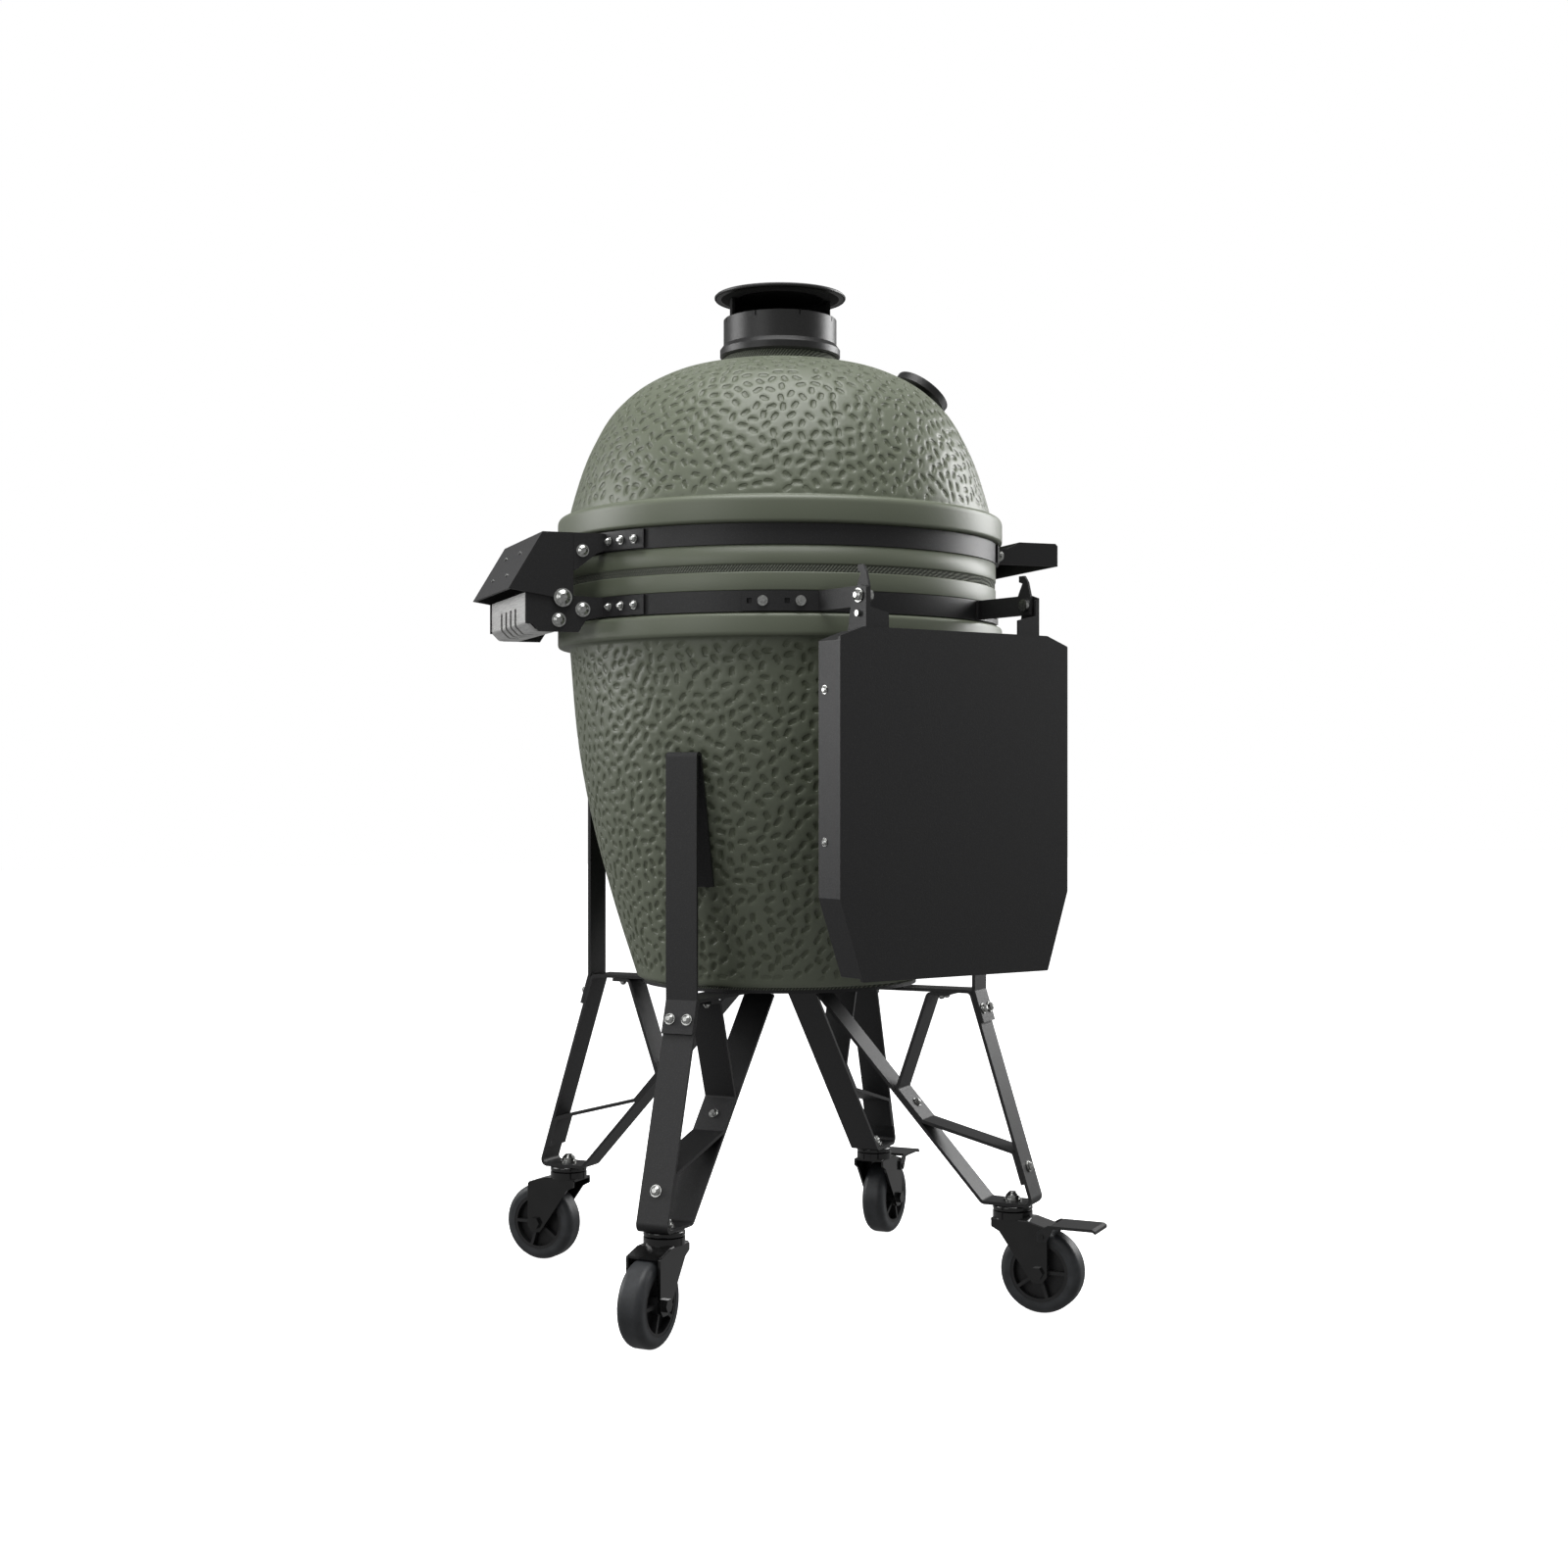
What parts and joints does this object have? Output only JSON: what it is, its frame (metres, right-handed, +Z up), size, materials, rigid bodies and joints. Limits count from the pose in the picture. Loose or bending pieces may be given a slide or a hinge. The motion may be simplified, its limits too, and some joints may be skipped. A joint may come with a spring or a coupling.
{
  "type": "kamado charcoal grill",
  "caption": "Ceramic kamado charcoal grill with a hinged domed lid, fold-down side tables and a flat-bar stand on swivel casters.",
  "frame": {"origin": "on the floor, under the vertical axis of the ceramic body", "axes": "+Z up, -Y towards the front with the handle and the draft door, +X to the right as seen from the front"},
  "size_m": [0.7682, 0.7147, 1.249],
  "materials": {
    "glazed_ceramic_green": "satin glaze over a dimpled surface",
    "felt_seal": "woven felt seal",
    "powder_coated_steel": "fine-grained black powder coat",
    "zinc_bolts": "bright zinc plate",
    "stainless_guard": "bright stainless sheet",
    "cast_vent_black": "satin black paint on cast iron",
    "fire_clay": "unglazed fire clay",
    "cast_grate": "seasoned cast iron",
    "gauge_case_black": "satin black paint",
    "dial_face": "off-white printed dial",
    "needle_red": "red paint",
    "gauge_glass": "clear flat glass",
    "caster_gloss_black": "gloss black",
    "tyre_rubber": "dark grey rubber",
    "hub_plastic": "moulded black plastic"
  },
  "bodies": {
    "base": {"base_bowl": "glazed_ceramic_green", "base_gasket": "felt_seal", "base_band": "powder_coated_steel", "base_hinge_bracket": "powder_coated_steel", "hinge_pin": "zinc_bolts", "hinge_springs": "zinc_bolts", "spring_guard": "stainless_guard", "base_bolts": "zinc_bolts", "fire_bowl": "fire_clay", "charcoal_grate": "cast_grate", "fire_ring": "fire_clay", "cooking_grate": "cast_grate", "draft_frame": "powder_coated_steel", "left_band_brackets": "powder_coated_steel", "right_band_brackets": "powder_coated_steel", "leg_frame_1": "powder_coated_steel", "leg_frame_2": "powder_coated_steel", "leg_frame_3": "powder_coated_steel", "leg_frame_4": "powder_coated_steel", "leg_uprights": "powder_coated_steel", "leg_braces": "powder_coated_steel", "base_plate": "powder_coated_steel", "base_pad": "felt_seal", "stand_bolts": "zinc_bolts", "caster_heads": "caster_gloss_black"},
    "lid": {"lid_dome": "glazed_ceramic_green", "lid_gasket": "felt_seal", "lid_band": "powder_coated_steel", "lid_hinge_bracket": "powder_coated_steel", "hinge_hood": "powder_coated_steel", "lid_bolts": "zinc_bolts", "front_handle": "powder_coated_steel", "vent_gasket": "felt_seal", "vent_collar": "cast_vent_black", "thermometer_case": "gauge_case_black", "thermometer_dial": "dial_face", "thermometer_glass": "gauge_glass"},
    "vent_cap": {"vent_cap": "cast_vent_black"},
    "needle": {"thermometer_needle": "needle_red"},
    "draft_door": {"draft_door": "powder_coated_steel"},
    "left_table": {"left_table_panel": "powder_coated_steel", "left_table_tray": "powder_coated_steel", "left_table_fixings": "zinc_bolts"},
    "right_table": {"right_table_panel": "powder_coated_steel", "right_table_tray": "powder_coated_steel", "right_table_fixings": "zinc_bolts"},
    "caster_1": {"caster_fork_1": "caster_gloss_black"},
    "wheel_1": {"caster_tyre_1": "tyre_rubber", "caster_hub_1": "hub_plastic"},
    "caster_2": {"caster_fork_2": "caster_gloss_black"},
    "wheel_2": {"caster_tyre_2": "tyre_rubber", "caster_hub_2": "hub_plastic"},
    "caster_3": {"caster_fork_3": "caster_gloss_black"},
    "wheel_3": {"caster_tyre_3": "tyre_rubber", "caster_hub_3": "hub_plastic"},
    "brake_3": {"brake_pedal_3": "hub_plastic"},
    "caster_4": {"caster_fork_4": "caster_gloss_black"},
    "wheel_4": {"caster_tyre_4": "tyre_rubber", "caster_hub_4": "hub_plastic"},
    "brake_4": {"brake_pedal_4": "hub_plastic"}
  },
  "joints": [
    {"name": "lid_hinge", "type": "hinge", "parent": "base", "child": "lid", "pos_m": [0, 0.308, 0.851], "axis": [-1, 0, 0], "range_deg": [0, 60]},
    {"name": "vent_cap_screw_down", "type": "slide", "parent": "lid", "child": "vent_cap", "axis": [0, 0, 1], "range_m": [-0.02, 0]},
    {"name": "thermometer_needle_turn", "type": "hinge", "parent": "lid", "child": "needle", "pos_m": [0, -0.18205, 1.12198], "axis": [0, -0.5981, 0.8014], "range_deg": [-135, 135]},
    {"name": "draft_door_slide", "type": "slide", "parent": "base", "child": "draft_door", "axis": [1, 0, 0], "range_m": [0, 0.1]},
    {"name": "left_table_fold", "type": "hinge", "parent": "base", "child": "left_table", "pos_m": [-0.32359, -0.0867, 0.841], "axis": [-0.2588, 0.9659, 0], "range_deg": [0, 90]},
    {"name": "right_table_fold", "type": "hinge", "parent": "base", "child": "right_table", "pos_m": [0.32359, -0.0867, 0.841], "axis": [-0.2588, -0.9659, 0], "range_deg": [0, 90]},
    {"name": "caster_1_swivel", "type": "hinge", "parent": "base", "child": "caster_1", "pos_m": [0.2192, 0.2192, 0.11], "axis": [0, 0, 1], "continuous": true},
    {"name": "wheel_1_roll", "type": "hinge", "parent": "caster_1", "child": "wheel_1", "pos_m": [0.24607, 0.24607, 0.05], "axis": [0.7071, -0.7071, 0], "continuous": true},
    {"name": "caster_2_swivel", "type": "hinge", "parent": "base", "child": "caster_2", "pos_m": [-0.2192, 0.2192, 0.11], "axis": [0, 0, 1], "continuous": true},
    {"name": "wheel_2_roll", "type": "hinge", "parent": "caster_2", "child": "wheel_2", "pos_m": [-0.24607, 0.24607, 0.05], "axis": [0.7071, 0.7071, 0], "continuous": true},
    {"name": "caster_3_swivel", "type": "hinge", "parent": "base", "child": "caster_3", "pos_m": [-0.2192, -0.2192, 0.11], "axis": [0, 0, 1], "continuous": true},
    {"name": "wheel_3_roll", "type": "hinge", "parent": "caster_3", "child": "wheel_3", "pos_m": [-0.24607, -0.24607, 0.05], "axis": [-0.7071, 0.7071, 0], "continuous": true},
    {"name": "brake_3_press", "type": "hinge", "parent": "caster_3", "child": "brake_3", "pos_m": [-0.25032, -0.25032, 0.094], "axis": [0.7071, -0.7071, 0], "range_deg": [0, 12]},
    {"name": "caster_4_swivel", "type": "hinge", "parent": "base", "child": "caster_4", "pos_m": [0.2192, -0.2192, 0.11], "axis": [0, 0, 1], "continuous": true},
    {"name": "wheel_4_roll", "type": "hinge", "parent": "caster_4", "child": "wheel_4", "pos_m": [0.24607, -0.24607, 0.05], "axis": [-0.7071, -0.7071, 0], "continuous": true},
    {"name": "brake_4_press", "type": "hinge", "parent": "caster_4", "child": "brake_4", "pos_m": [0.25032, -0.25032, 0.094], "axis": [0.7071, 0.7071, 0], "range_deg": [0, 12]}
  ]
}
